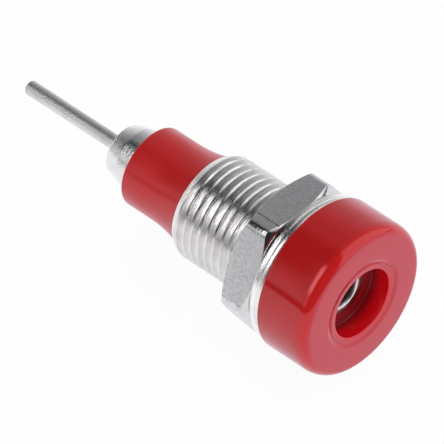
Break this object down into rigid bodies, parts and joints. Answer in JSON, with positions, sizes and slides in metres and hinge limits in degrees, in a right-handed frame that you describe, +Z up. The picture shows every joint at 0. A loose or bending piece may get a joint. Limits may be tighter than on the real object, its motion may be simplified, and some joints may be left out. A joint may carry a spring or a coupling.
{
  "type": "miniature banana socket",
  "caption": "Miniature insulated panel socket with a red moulded head, a fine-threaded metal bush, washer and hexagon nut, and a turned contact ending in a thin solder pin.",
  "frame": {"origin": "on the socket's axis, in the rear face of the bush's flange, where a panel's front face bears", "axes": "-Y out of the mouth, towards the plug; +Y along the axis to the tip of the solder pin; +Z up"},
  "size_m": [0.009, 0.0234, 0.0086],
  "materials": {
    "red_moulding": "glossy moulded red plastic",
    "bush_plating": "brass with warm bright nickel plating, turned thread",
    "washer_plating": "brass with bright nickel plating",
    "nut_plating": "brass with bright nickel plating, slightly mottled flats",
    "contact_plating": "brass with dull granular tin plating"
  },
  "bodies": {
    "socket": {"insulator": "red_moulding", "threaded_bush": "bush_plating", "contact": "contact_plating"},
    "washer": {"washer": "washer_plating"},
    "nut": {"hex_nut": "nut_plating"}
  },
  "joints": [
    {"name": "nut_travel", "type": "slide", "parent": "socket", "child": "washer", "axis": [0, 1, 0], "range_m": [0, 0.0045]},
    {"name": "nut_turn", "type": "hinge", "parent": "washer", "child": "nut", "pos_m": [0, 0, 0], "axis": [0, 1, 0], "range_deg": [0, 3240]}
  ],
  "couplings": [
    {"joint": "nut_turn", "follows": "nut_travel", "rad_per_m": 12566}
  ]
}
